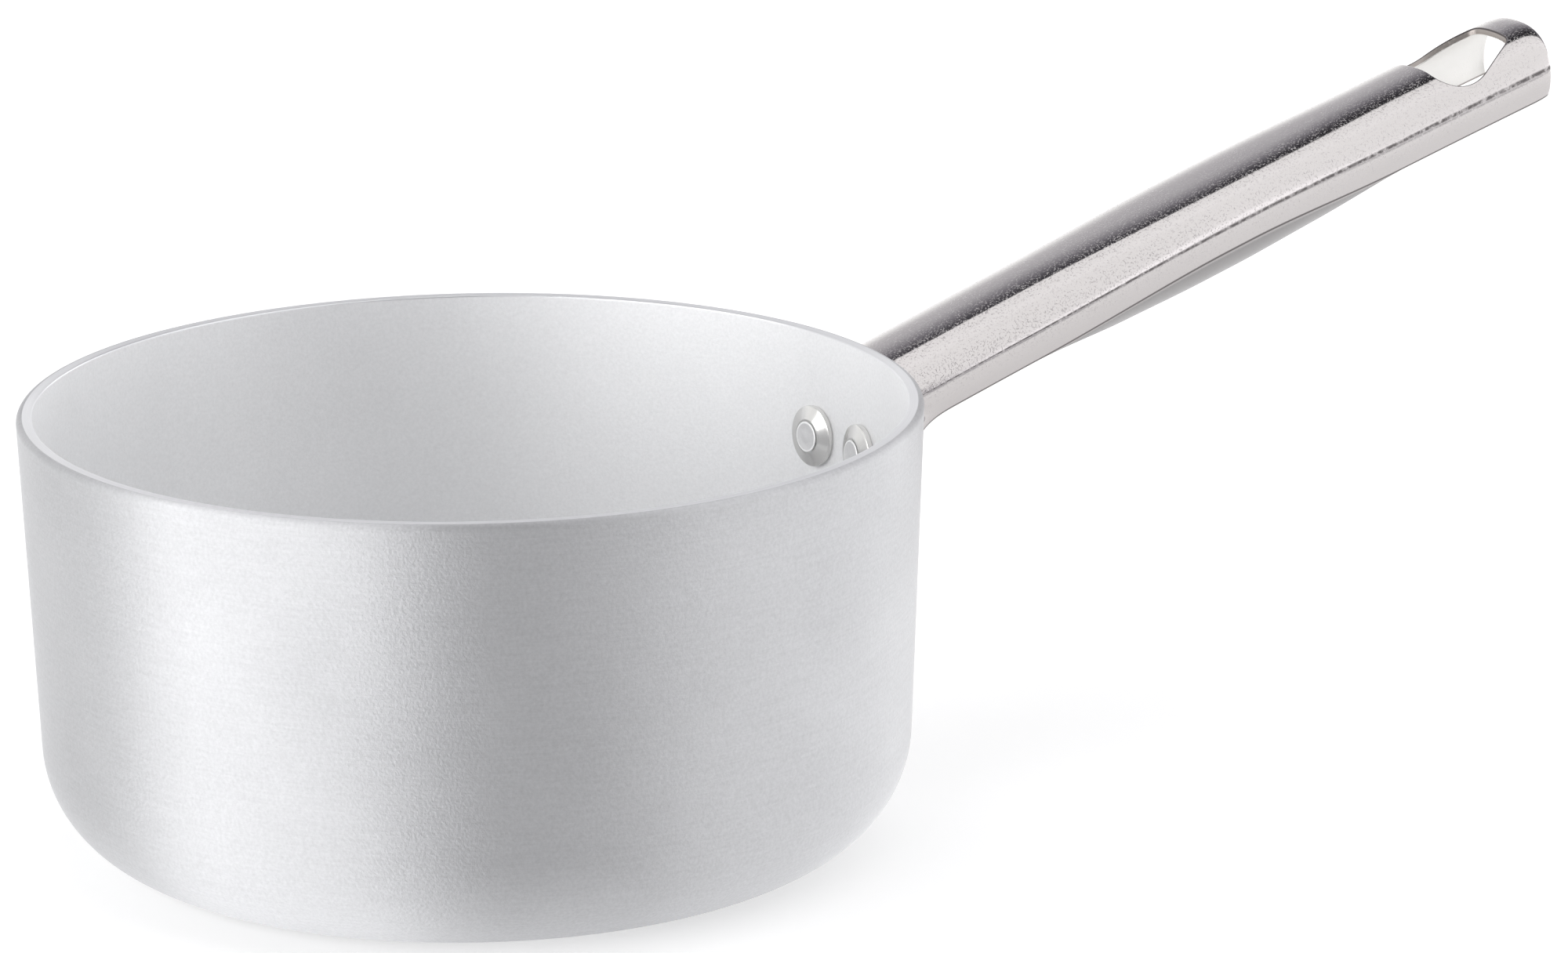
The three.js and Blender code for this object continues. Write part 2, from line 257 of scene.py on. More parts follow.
def arc(centre, radius, start, end, count):
    """Points on a circle about a centre, at even angles from start to end."""
    angle = np.linspace(start, end, count)
    return np.array(centre) + radius * np.stack([np.cos(angle), np.sin(angle)], -1)


def stretch(start, end, count):
    """Points inside a straight line, closer together towards its ends: the share is half a cosine wave."""
    share = (1 - np.cos(np.linspace(0, math.pi, count + 2)[1:-1])) / 2
    return np.array(start) + share[:, None] * (np.array(end) - np.array(start))


def rounded(corners, rounds, steps):
    """A closed polygon, counter-clockwise, with a circular arc at each corner: the arc's centre lies on
    the corner's bisector, its radius over the sine of the half angle away."""
    out = []
    for i, (corner, radius) in enumerate(zip(corners, rounds)):
        back = corners[i - 1] - corner
        ahead = corners[(i + 1) % len(corners)] - corner
        back = back / np.linalg.norm(back)
        ahead = ahead / np.linalg.norm(ahead)
        half = math.acos(back @ ahead) / 2
        bisector = (back + ahead) / np.linalg.norm(back + ahead)
        centre = corner + bisector * radius / math.sin(half)
        middle = math.atan2(-bisector[1], -bisector[0])
        sweep = QUARTER - half
        out.append(arc(centre, radius, middle - sweep, middle + sweep, steps))
    return np.concatenate(out)


def evened(line, count):
    """A closed line set out again in equal steps of its length."""
    closed = np.concatenate([line, line[:1]])
    walked = np.concatenate([[0], np.cumsum(np.linalg.norm(np.diff(closed, axis=0), axis=1))])
    at = np.linspace(0, walked[-1], count, endpoint=False)
    return np.stack([np.interp(at, walked, closed[:, k]) for k in range(2)], -1)


def ring_quads(rings, count, closed=False):
    """Four-sided faces between neighbouring rings of count points, numbered ring by ring. The last ring
    joins the first where closed."""
    row = np.arange(rings if closed else rings - 1)[:, None]
    column = np.arange(count)[None, :]
    after = (column + 1) % count
    above = (row + 1) % rings
    faces = np.stack(np.broadcast_arrays(row * count + column, row * count + after,
                                         above * count + after, above * count + column), -1)
    return faces.reshape(-1, 4)


def capped(rings, first, last):
    """Rings closed at both ends by a fan of triangles to a point. Gives points and faces."""
    levels, count, _ = rings.shape
    points = np.concatenate([rings.reshape(-1, 3), [first, last]])
    column = np.arange(count)
    after = (column + 1) % count
    top = (levels - 1) * count
    start = np.stack([np.full(count, levels * count), after, column], -1)
    end = np.stack([np.full(count, levels * count + 1), top + column, top + after], -1)
    return points, [ring_quads(levels, count), start, end]


def around_z(profile, count):
    """A profile of radius r and height carried round Z: x = r cos t, y = r sin t."""
    t = full_turn(count)
    r, z = profile[:, :1], profile[:, 1:]
    return np.stack(np.broadcast_arrays(r * np.cos(t), r * np.sin(t), z), -1)


def around_x(profile, count):
    """A profile of distance x and radius r carried round X: y = r cos t, z = r sin t."""
    t = full_turn(count)
    x, r = profile[:, :1], profile[:, 1:]
    return np.stack(np.broadcast_arrays(x, r * np.cos(t), r * np.sin(t)), -1)


def put_object(name, data):
    """Makes an object and puts it into the scene."""
    made = bpy.data.objects.new(name, data)
    bpy.context.scene.collection.objects.link(made)
    return made


def put_piece(name, points, faces, materials, node, attributes=(), material_index=None):
    """Makes the mesh object of a piece that stands for a solid, with smooth faces and its finish."""
    mesh = bpy.data.meshes.new(name)
    mesh.from_pydata(points.tolist(), [], [face for part in faces for face in part.tolist()])
    for label, values in attributes:
        kind, field = ("FLOAT", "value") if values.ndim == 1 else ("FLOAT_VECTOR", "vector")
        layer = mesh.attributes.new(label, kind, "POINT")
        layer.data.foreach_set(field, values.astype(np.float32).ravel())
    for material in materials:
        mesh.materials.append(material)
    if material_index is not None:
        mesh.polygons.foreach_set("material_index", material_index.astype(np.int32))
    mesh.shade_smooth()
    mesh.update()
    piece = put_object(name, mesh)
    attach(piece, "root")
    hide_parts(node)
    return piece


# Pan body


def wall_radius(z):
    """Outside radius of the drafted wall at a height."""
    return RIM_RADIUS - (POT_HEIGHT - z) * math.tan(DRAFT)


def pan_profile():
    """Radius and height along the pan's section, from the middle of the underside over the rim to the
    middle of the floor: lines joined by an arc at each corner. Gives the outside, the rim and the inside."""
    lean = 1 / math.cos(DRAFT)
    inner_round = CORNER_RADIUS - WALL
    inner_z = BASE + inner_round
    rim_z = POT_HEIGHT - RIM_ROUND
    corner = arc((wall_radius(CORNER_RADIUS) - CORNER_RADIUS * lean, CORNER_RADIUS),
                 CORNER_RADIUS, -QUARTER, -DRAFT, PAN_CORNER_STEPS)
    outer_rim = arc((wall_radius(rim_z) - RIM_ROUND * lean, rim_z),
                    RIM_ROUND, -DRAFT, QUARTER, RIM_OUTER_STEPS)
    inner_rim_z = POT_HEIGHT - RIM_INNER_ROUND
    inner_rim = arc((wall_radius(inner_rim_z) - (WALL - RIM_INNER_ROUND) * lean, inner_rim_z),
                    RIM_INNER_ROUND, QUARTER, math.pi - DRAFT, RIM_INNER_STEPS)
    inner_corner = arc((wall_radius(inner_z) - (WALL + inner_round) * lean, inner_z),
                       inner_round, -DRAFT, -QUARTER, PAN_CORNER_STEPS)
    outside = np.concatenate([
        stretch((0, 0), corner[0], PAN_FLOOR_STEPS),
        corner,
        stretch(corner[-1], outer_rim[0], PAN_WALL_STEPS),
        outer_rim,
    ])
    rim = np.concatenate([
        stretch(outer_rim[-1], inner_rim[0], RIM_FLAT_STEPS),
        inner_rim,
    ])
    inside = np.concatenate([
        stretch(inner_rim[-1], inner_corner[0], PAN_WALL_STEPS),
        inner_corner,
        stretch(inner_corner[-1], (0, BASE), PAN_FLOOR_STEPS),
    ])
    return [outside, rim, inside]


def make_pan(finishes):
    """The pan: its section carried round Z, with a finish each for its outside, rim and inside. The attribute
    along is the length walked on the section."""
    stretches = pan_profile()
    profile = np.concatenate(stretches)
    points, faces = capped(around_z(profile, PAN_SIDES), (0, 0, 0), (0, 0, BASE))
    steps = np.linalg.norm(np.diff(profile, axis=0, prepend=[[0, 0]]), axis=1)
    walked = np.cumsum(steps)
    end = walked[-1] + profile[-1, 0]
    along = np.concatenate([np.repeat(walked, PAN_SIDES), [0, end]])
    outside, rim, inside = range(len(finishes))
    ring_zone = np.repeat([outside, rim, inside], [len(s) for s in stretches])
    quad_zone = np.repeat(np.maximum(ring_zone[1:], ring_zone[:-1]), PAN_SIDES)
    zone = np.concatenate([quad_zone, np.full(PAN_SIDES, outside), np.full(PAN_SIDES, inside)])
    return put_piece("pan_body", points, faces, finishes, "pot_body",
                     [("along", along)], zone)


# Handle


def ridge_height(w):
    """Height of the ridge at a level distance w past the rim: a parabola between its two slopes."""
    bend = (RISE_TIP - RISE_ROOT) / (2 * HANDLE_REACH)
    return POT_HEIGHT - RIDGE_BELOW_RIM + RISE_ROOT * w + bend * w * w


def grip_share(w):
    """How far the sheet has become a grip at w: 0 at both ends and 1 along the grip."""
    return np.minimum(smooth(w, *CURL), 1 - smooth(w, *UNCURL))


def wrap_angle(w):
    """Half sweep of the sheet at w: open at both ends, and curled nearly shut along the grip."""
    return WRAP_OPEN + (WRAP_GRIP - WRAP_OPEN) * grip_share(w)


def fold_angle(w):
    """Angle of the fold at w: that of the open edge, and a little higher along the grip."""
    return WRAP_OPEN - FOLD_RISE * grip_share(w)


def past_fold(w, angle):
    """Length of sheet from the fold to an angle, less than 0 before the fold."""
    return (np.abs(angle) - fold_angle(w)) / (WRAP_GRIP - WRAP_OPEN + FOLD_RISE) * FLAP_LENGTH


def past_crease(w, angle):
    """Length of sheet from the crease's painted dark line to an angle, in half widths of the line, which
    widens evenly from root to tip."""
    half_width = np.interp(w, (0, HANDLE_REACH), CREASE_HALF_WIDTH)
    return (np.abs(angle) - CREASE_ANGLE) * HALF_WIDTH / half_width


def flap(length, heading):
    """How far inward and down the sheet has come at a length past the fold, which it reaches at a heading
    from straight down: the sums of short steps, which turn quickly at the fold, by 1 - e^(-s), and then
    slowly and evenly."""
    s = np.linspace(0, FLAP_TABLE_LENGTH, FLAP_STEPS)
    turn = FOLD_TURN * (1 - np.exp(-s / FOLD_LENGTH)) + FLAP_TURN * s / FLAP_LENGTH
    steps = s[1] * np.stack([np.sin(turn), np.cos(turn)])
    aside, ahead = [np.interp(length, s, sums) for sums in np.cumsum(steps, axis=1) - steps]
    inward = ahead * np.sin(heading) + aside * np.cos(heading)
    down = ahead * np.cos(heading) - aside * np.sin(heading)
    return inward, down


def tip_roll(w):
    """How far the outline has rolled in towards the tip: a quarter of an ellipse."""
    t = np.clip((w - HANDLE_REACH + TIP_ROLL_LENGTH) / TIP_ROLL_LENGTH, 0, 1)
    return TIP_ROLL_DEPTH * (1 - np.sqrt(1 - t * t))


def arch(w, size):
    """Distance from the middle plane and height of the sheet's outside at w, by its angle from the ridge: a
    squared arch, |y/width|^n + |z/crown|^n = 1, which eases to an ellipse below, with a flare beside the
    pan."""
    roll = tip_roll(w)
    power = 2 / (CROWN_SQUARENESS + (GRIP_SQUARENESS - CROWN_SQUARENESS) * grip_share(w))
    power = power + (1 - power) * smooth(size, *ELLIPSE_BELOW)
    lift = np.sign(np.cos(size)) * np.abs(np.cos(size)) ** power
    reach = np.sin(size) ** power
    near = np.clip(1 - np.maximum(w, 0) / FLARE_LENGTH, 0, 1) ** FLARE_SHARPNESS
    low = smooth(size, FLARE_FROM, WRAP_OPEN) * near
    out = (HALF_WIDTH - roll) * reach + FLARE_SPREAD * low
    z = ridge_height(w) - roll + (CROWN - roll) * (lift - 1) - FLARE_DROP * low
    return out, z


def section(w, angle):
    """Outside of the sheet in the upright section at w: the arch up to the fold, and from there the flap,
    which leaves the arch along its last step."""
    fold = fold_angle(w)
    last_step = 0.02
    out, z = arch(w, np.minimum(np.abs(angle), fold))
    last_out, last_z = np.subtract(arch(w, fold), arch(w, fold - last_step))
    inward, down = flap(np.maximum(past_fold(w, angle), 0), np.arctan2(-last_out, -last_z))
    return np.stack([np.sign(angle) * (out - inward), z - down], -1)


def sheet_point(w, angle, depth, bulge=0.0):
    """A point of the sheet: its outside at w and an angle, moved in by depth along the section's normal
    and out past its edge by bulge along the section's tangent."""
    step = 0.004
    tangent = section(w, angle + step) - section(w, angle - step)
    tangent = tangent / np.linalg.norm(tangent, axis=-1, keepdims=True)
    normal = np.stack([-tangent[..., 1], tangent[..., 0]], -1)
    depth = np.asarray(depth)[..., None]
    bulge = np.asarray(bulge)[..., None]
    yz = section(w, angle) - depth * normal + bulge * tangent
    return np.concatenate([(RIM_RADIUS + w)[..., None], yz], -1)


class SheetLoop:
    """The closed line round the sheet's section: the outside from one edge to the other, a blunt edge,
    the inside back again, and the other edge. Each point has a share of the wrap, a level between the
    faces (1 outside, -1 inside), a bulge past the edge, and marks for the cut edges and the inside."""

    across = 144
    edge = 5
    blunt = 0.5
    edge_bulge = 0.5

    def __init__(self):
        share = np.linspace(-1, 1, self.across + 1)
        turn = np.linspace(0, math.pi, self.edge + 2)[1:-1]
        level = np.sign(np.cos(turn)) * np.abs(np.cos(turn)) ** self.blunt
        bulge = self.edge_bulge * np.sin(turn) ** self.blunt
        face, lip = np.ones_like(share), np.ones_like(turn)
        self.share = np.concatenate([share, lip, share[::-1], -lip])
        self.level = np.concatenate([face, level, -face, level[::-1]])
        self.bulge = np.concatenate([0 * share, bulge, 0 * share, -bulge])
        self.cut = np.concatenate([0 * face, lip, 0 * face, lip])
        self.inside = np.concatenate([0 * face, 0 * lip, face, 0 * lip])
        self.count = len(self.share)

    def points(self, w, inset=0.0):
        """The loop at w, one value for each of its points, with both faces drawn in by inset."""
        half = SHEET / 2 - inset
        depth = SHEET / 2 - half * self.level
        return sheet_point(w, self.share * wrap_angle(w), depth, half * self.bulge)

    def inner(self, column):
        """The inside column under an outside one."""
        return 2 * self.across + self.edge + 1 - column


def root_start(loop):
    """Where each line of the sheet meets the wall: the distance w at which its radius is the wall's plus
    the seat's gap, found by halving."""
    low, high = [np.full(loop.count, end) for end in ROOT_SEARCH]
    for _ in range(HALVINGS):
        middle = (low + high) / 2
        p = loop.points(middle)
        outside = np.hypot(p[:, 0], p[:, 1]) > wall_radius(p[:, 2]) + SEAT_GAP / math.cos(DRAFT)
        high = np.where(outside, middle, high)
        low = np.where(outside, low, middle)
    return high


def end_cap(loop, first):
    """Faces across the sheet at one end, from the outside to the inside, with a fan at each edge."""
    j = np.arange(loop.across)
    quads = np.stack([j, j + 1, loop.inner(j + 1), loop.inner(j)], -1)
    k = np.arange(loop.across, loop.across + loop.edge + 1)
    right = np.stack([np.full_like(k[1:], loop.across), k[1:], k[1:] + 1], -1)
    far = loop.inner(0) + np.arange(loop.edge + 1)
    left = np.stack([np.zeros_like(far[:-1]), far[:-1], far[:-1] + 1], -1)
    return [first + quads, first + right, first + left]


def strip_rows():
    """Shares of the way from root to tip, closer together at the root, at the hole and at the tip."""
    way = np.linspace(0, 1, STRIP_STEPS)
    hole = 1 - (HOLE_FROM_TIP + HOLE_LENGTH / 2) / HANDLE_REACH
    root_rows, root_spread = ROOT_CROWDING
    hole_rows, hole_spread = HOLE_CROWDING
    tip_rows, tip_spread = TIP_CROWDING
    density = 1 + root_rows * np.exp(-way / root_spread)
    density = density + hole_rows * np.exp(-((way - hole) / hole_spread) ** 2)
    density = density + tip_rows * np.exp((way - 1) / tip_spread)
    summed = np.concatenate([[0], np.cumsum((density[1:] + density[:-1]) / 2)])
    return np.interp(np.linspace(0, 1, HANDLE_ROWS), summed / summed[-1], way)


def hole_outline():
    """The hanging hole on the flat strip, by distance from the rim and from the ridge: a trapezium with
    round corners. Gives its outline and its middle."""
    near = HANDLE_REACH - HOLE_FROM_TIP
    far = near - HOLE_LENGTH
    corners = np.array([[far, -HOLE_WIDE / 2], [near, -HOLE_NARROW / 2],
                        [near, HOLE_NARROW / 2], [far, HOLE_WIDE / 2]])
    rounds = [HOLE_WIDE_ROUND, HOLE_NARROW_ROUND, HOLE_NARROW_ROUND, HOLE_WIDE_ROUND]
    outline = evened(rounded(corners, rounds, HOLE_CORNER_STEPS), OUTLINE_STEPS)
    return outline, np.array([(near + far) / 2, 0])


def make_hole(loop, w, first_new):
    """The sheet round the hanging hole. A block of the strip is left out, and rings lead from the block's
    border on the outside to the hole's outline, through the sheet, and back out to the border inside.
    Gives the new points, whether each is on the cut, on the inside and on the outer lip, the rings of
    point numbers, and the block as rows and columns."""
    outline, centre = hole_outline()
    polar = outline - centre
    bearing = np.arctan2(polar[:, 1], polar[:, 0])
    radius = np.linalg.norm(polar, axis=1)

    angles = np.linspace(0, ARCH_TABLE_ANGLE, ARCH_STEPS)
    line = section(np.full_like(angles, centre[0]), angles)
    lengths = np.concatenate([[0], np.cumsum(np.linalg.norm(np.diff(line, axis=0), axis=1))])

    ridge = w[:, loop.across // 2]
    rows = np.flatnonzero((ridge > centre[0] - HOLE_LENGTH / 2 - HOLE_BORDER)
                          & (ridge < centre[0] + HOLE_LENGTH / 2 + HOLE_BORDER))
    open_share = loop.share[:loop.across + 1] * WRAP_OPEN
    reach = np.interp(np.abs(open_share), angles, lengths)
    columns = np.flatnonzero(reach < HOLE_HALF_BLOCK)
    i0, i1, j0, j1 = rows[0], rows[-1], columns[0], columns[-1]
    border_rows = np.concatenate([np.full(j1 - j0, i0), np.arange(i0, i1),
                                  np.full(j1 - j0, i1), np.arange(i1, i0, -1)])
    border_columns = np.concatenate([np.arange(j0, j1), np.full(i1 - i0, j1),
                                     np.arange(j1, j0, -1), np.full(i1 - i0, j0)])

    def border(inside):
        """Places of the border on the flat strip, and the numbers of its points."""
        column = loop.inner(border_columns) if inside else border_columns
        at = w[border_rows, column]
        angle = loop.share[column] * wrap_angle(at)
        length = np.sign(angle) * np.interp(np.abs(angle), angles, lengths)
        return np.stack([at, length], -1), border_rows * loop.count + column

    outer, outer_numbers = border(False)
    inner, inner_numbers = border(True)
    theta = np.arctan2(outer[:, 1] - centre[1], outer[:, 0] - centre[0])

    def rim(grow):
        """The hole's outline, grown by a little, at the border's bearings."""
        r = np.interp(theta, bearing, radius, period=2 * math.pi) + grow
        return centre + r[:, None] * np.stack([np.cos(theta), np.sin(theta)], -1)

    def lifted(flat, depth):
        """Places on the flat strip, bent into the sheet at a depth."""
        angle = np.sign(flat[:, 1]) * np.interp(np.abs(flat[:, 1]), lengths, angles)
        return sheet_point(flat[:, 0], angle, np.full(len(flat), depth))

    spread = 1 - (1 - np.linspace(0, 1, HOLE_RINGS)[1:]) ** HOLE_RING_CROWDING
    turn = np.linspace(0, QUARTER, LIP_STEPS)
    lip_out = EDGE_LIP * (1 - np.sin(turn))
    lip_in = EDGE_LIP * (1 - np.cos(turn))
    rings = [lifted(outer + s * (rim(EDGE_LIP) - outer), 0.0) for s in spread]
    rings += [lifted(rim(out), deep) for out, deep in zip(lip_out[1:], lip_in[1:])]
    rings += [lifted(rim(out), SHEET - deep) for out, deep in zip(lip_out[::-1], lip_in[::-1])]
    rings += [lifted(inner + s * (rim(EDGE_LIP) - inner), SHEET) for s in spread[-2::-1]]
    points = np.stack(rings)
    wall = len(spread) + len(turn) - 1
    ring = np.arange(len(rings))
    cut = (ring == wall - 1) | (ring == wall)
    lip = (ring > len(spread)) & (ring < wall)
    marks = [np.repeat(mark, len(theta)) for mark in (cut, ring > wall, lip)]
    numbers = first_new + np.arange(points.shape[0] * points.shape[1]).reshape(points.shape[:2])
    numbers = np.concatenate([[outer_numbers], numbers, [inner_numbers]])
    return points.reshape(-1, 3), marks, numbers, (i0, i1, j0, j1)


def make_strip():
    """The arched strip: its loop carried from the wall to the tip, with the hanging hole let into it. Gives
    points, faces, and for each point its length past the fold, whether it is on a cut, inside, and on the
    lip of the hole, and its length past the crease."""
    loop = SheetLoop()
    start = root_start(loop)
    finish = HANDLE_REACH - EDGE_LIP
    w = start + strip_rows()[:, None] * (finish - start)
    turn = np.linspace(0, QUARTER, LIP_STEPS)[1:]
    lip_w = np.broadcast_to((finish + EDGE_LIP * np.sin(turn))[:, None], (len(turn), loop.count))
    lip = [loop.points(at, EDGE_LIP * (1 - math.cos(t))) for at, t in zip(lip_w, turn)]
    rings = np.concatenate([loop.points(w), np.stack(lip)])
    rows = len(rings)
    body = rings.reshape(-1, 3)

    every_w = np.concatenate([w, lip_w])
    angle = loop.share * wrap_angle(every_w)
    beyond = past_fold(every_w, angle)
    crease = past_crease(every_w, angle)
    cut = np.maximum(loop.cut, (np.arange(rows) == rows - 1)[:, None])
    inside = np.broadcast_to(loop.inside, cut.shape)

    hole_points, hole_marks, numbers, (i0, i1, j0, j1) = make_hole(loop, w, len(body))
    hole_cut, hole_inside, hole_lip = hole_marks
    quads = ring_quads(rows, loop.count)
    row, column = np.divmod(np.arange(len(quads)), loop.count)
    in_rows = (row >= i0) & (row < i1)
    outside_block = (column >= j0) & (column < j1)
    inside_block = (column >= loop.inner(j1)) & (column < loop.inner(j0))
    quads = quads[~(in_rows & (outside_block | inside_block))][:, ::-1]

    after = np.roll(numbers, -1, axis=1)
    hole_quads = np.stack([numbers[:-1], numbers[1:], after[1:], after[:-1]], -1).reshape(-1, 4)
    root = end_cap(loop, 0)
    tip = [part[:, ::-1] for part in end_cap(loop, (rows - 1) * loop.count)]
    marks = [
        np.concatenate([beyond.ravel(), np.full(len(hole_points), -FLAP_LENGTH)]),
        np.concatenate([cut.ravel(), hole_cut]),
        np.concatenate([inside.ravel(), hole_inside]),
        np.concatenate([np.zeros(len(body)), hole_lip]),
        np.concatenate([crease.ravel(), np.full(len(hole_points), NO_CREASE)]),
    ]
    return np.concatenate([body, hole_points]), [quads, hole_quads, *root, *tip], marks


def rivet_spots():
    """Name, distance across and height of each rivet: two side by side, and one below them."""
    upper = POT_HEIGHT - RIVET_BELOW_RIM
    return [
        ("upper_left", RIVET_SPACING / 2, upper),
        ("upper_right", -RIVET_SPACING / 2, upper),
        ("lower", 0.0, upper - LOWER_RIVET_DROP),
    ]


def make_saddle():
    """The shield by which the handle sits on the wall. In each direction its outline lies a margin beyond
    the furthest rivet. Rings run out over the back, round the edge and in again over the front."""
    spots = np.array([[across, z] for _, across, z in rivet_spots()])
    middle = spots.mean(0)
    turn = full_turn(SADDLE_SIDES)
    way = np.stack([np.cos(turn), np.sin(turn)], -1)
    furthest = spots[np.argmax((spots - middle) @ way.T, axis=0)]
    inner_line = furthest + (SADDLE_MARGIN - SADDLE_EDGE) * way - middle
    shares = np.linspace(0, 1, SADDLE_RINGS)[1:]
    rim_turn = np.linspace(0, QUARTER, LIP_STEPS)
    edge_out, edge_in = SADDLE_EDGE * np.sin(rim_turn), SADDLE_EDGE * (1 - np.cos(rim_turn))
    back, front = SEAT_GAP, SEAT_GAP + SADDLE

    def ring(share, grow, offset):
        """The outline at a share of its size, grown by a little, at a distance off the wall."""
        yz = middle + share * inner_line + grow * way
        radius = wall_radius(yz[:, 1]) + offset / math.cos(DRAFT)
        return np.stack([np.sqrt(radius**2 - yz[:, 0] ** 2), yz[:, 0], yz[:, 1]], -1)

    rings = [ring(s, 0.0, back) for s in shares]
    rings += [ring(1, out, back + deep) for out, deep in zip(edge_out[1:], edge_in[1:])]
    rings += [ring(1, out, front - deep) for out, deep in zip(edge_out[::-1], edge_in[::-1])]
    rings += [ring(s, 0.0, front) for s in shares[-2::-1]]
    return capped(np.stack(rings), ring(0, 0.0, back)[0], ring(0, 0.0, front)[0])


def make_handle(finish):
    """The handle: the strip and its saddle."""
    strip, strip_faces, marks = make_strip()
    saddle, saddle_faces = make_saddle()
    faces = strip_faces + [part + len(strip) for part in saddle_faces]
    on_saddle = (-FLAP_LENGTH, 0, 0, 0, NO_CREASE)
    marks = [np.concatenate([mark, np.full(len(saddle), value)]) for mark, value in zip(marks, on_saddle)]
    return put_piece("long_handle", np.concatenate([strip, saddle]), faces, [finish], "handle",
                     list(zip(HANDLE_MARKS, marks)))


# Rivets and washers


def on_wall(across, z):
    """The rivet's own frame: +X leaves the wall squarely, from a point on its outside."""
    radius = wall_radius(z)
    turn = math.asin(across / radius)
    place = Matrix.Translation((radius * math.cos(turn), across, z))
    return place @ Matrix.Rotation(turn, 4, "Z") @ Matrix.Rotation(DRAFT, 4, "Y")


def placed(points, matrix):
    """Points of a rivet's own frame in the pan's frame."""
    m = np.array(matrix)
    return points @ m[:3, :3].T + m[:3, 3]


def washer_back(z):
    """Where a washer's flat back lies: behind the wall, where the round wall clears its edge."""
    inner = wall_radius(z) - WALL
    return -(WALL + inner - math.sqrt(inner**2 - WASHER_RADIUS**2) + SEAT_GAP)


def make_rivet(name, across, z, finish):
    """A rivet: a flat tail with a soft edge and the shallow ring of the setting tool, a shank, and a head
    that is half of an ellipsoid, as one profile carried round its own axis."""
    tail_seat = washer_back(z) - WASHER_HEIGHT - CLOSE_FIT
    tail_top = tail_seat - TAIL_HEIGHT
    head_seat = SADDLE + 2 * SEAT_GAP
    flat = TAIL_RADIUS - TAIL_SOFT
    dish_radius = np.linspace(0, flat, RIVET_TAIL_STEPS)[1:]
    dish = tail_top + TAIL_DISH * np.sin(dish_radius / flat * math.pi) ** 2
    dome = np.linspace(0, QUARTER, RIVET_HEAD_STEPS)[:-1]
    profile = np.concatenate([
        np.stack([dish, dish_radius], -1),
        arc((tail_top + TAIL_SOFT, flat), TAIL_SOFT, math.pi, QUARTER, SOFT_CORNER_STEPS),
        stretch((tail_seat, TAIL_RADIUS), (tail_seat, SHANK_RADIUS), RIVET_SEAT_STEPS),
        stretch((tail_seat, SHANK_RADIUS), (head_seat, SHANK_RADIUS), RIVET_SHANK_STEPS),
        stretch((head_seat, SHANK_RADIUS), (head_seat, HEAD_RADIUS), RIVET_SHANK_STEPS),
        np.stack([head_seat + HEAD_HEIGHT * np.sin(dome), HEAD_RADIUS * np.cos(dome)], -1),
    ])
    rings = around_x(profile, RIVET_SIDES)
    points, faces = capped(rings, (tail_top, 0, 0), (head_seat + HEAD_HEIGHT, 0, 0))
    return put_piece("rivet_" + name, placed(points, on_wall(across, z)), faces, [finish],
                     "rivet_" + name)


def make_washer(name, across, z, finish):
    """A coned washer: a ring whose section is a back, a short edge, a cone and a flat top with soft corners,
    carried round the rivet's axis. Its back is bent to the round wall. The attribute round is the way
    round the axis, which the marks of the turning tool follow."""
    back = washer_back(z)
    corners = np.array([
        [0, WASHER_BORE],
        [0, WASHER_RADIUS],
        [-WASHER_EDGE, WASHER_RADIUS],
        [-WASHER_HEIGHT, WASHER_TOP_RADIUS],
        [-WASHER_HEIGHT, WASHER_BORE],
    ])
    line = rounded(corners, WASHER_ROUNDS, SOFT_CORNER_STEPS)
    after = np.roll(line, -1, axis=0)
    legs = [np.concatenate([[a], stretch(a, b, WASHER_LEG_STEPS)]) for a, b in zip(line, after)]
    profile = np.concatenate(legs) + np.array([back, 0])
    rings = around_x(profile, WASHER_SIDES)
    inner = wall_radius(z) - WALL
    wall = np.sqrt(inner**2 - rings[..., 1] ** 2) - inner - WALL - CLOSE_FIT
    at_back = smooth(profile[:, :1], back - WASHER_EDGE / 2, back)
    rings[..., 0] += at_back * (wall - back)
    faces = ring_quads(len(profile), WASHER_SIDES, closed=True)[:, ::-1]
    points = rings.reshape(-1, 3)
    frame_here = on_wall(across, z)
    round_axis = np.stack([0 * points[:, 0], -points[:, 2], points[:, 1]], -1)
    round_axis = placed(round_axis, frame_here.to_3x3().to_4x4())
    return put_piece("washer_" + name, placed(points, frame_here), [faces], [finish],
                     "washer_" + name, [("round", round_axis)])


# Finishes


def new_group(name, inputs, outputs):
    """An empty shader node group with named sockets. Gives its tree, its input and its output node."""
    tree = bpy.data.node_groups.new(name, "ShaderNodeTree")
    for label, kind in inputs:
        tree.interface.new_socket(label, in_out="INPUT", socket_type="NodeSocket" + kind)
    for label in outputs:
        tree.interface.new_socket(label, in_out="OUTPUT", socket_type="NodeSocketFloat")
    return tree, tree.nodes.new("NodeGroupInput"), tree.nodes.new("NodeGroupOutput")


def add(tree, kind, **values):
    """A node of a tree with its properties set. Links and numbers on sockets go through join."""
    node = tree.nodes.new("ShaderNode" + kind)
    for label, value in values.items():
        setattr(node, label, value)
    return node


def feed(tree, end, value):
    """Gives a node's input a value: a socket is linked, and anything else is set on the input itself."""
    if isinstance(value, bpy.types.NodeSocket):
        tree.links.new(value, end)
    else:
        end.default_value = value


def join(tree, node, **inputs):
    """Feeds inputs of a node by name, where an underscore stands for a space. Gives the node."""
    for label, value in inputs.items():
        feed(tree, node.inputs[label.replace("_", " ")], value)
    return node


def calculate(tree, operation, *values):
    """The output of a Math node on sockets or numbers."""
    node = add(tree, "Math", operation=operation)
    for socket, value in zip(node.inputs, values):
        feed(tree, socket, value)
    return node.outputs[0]


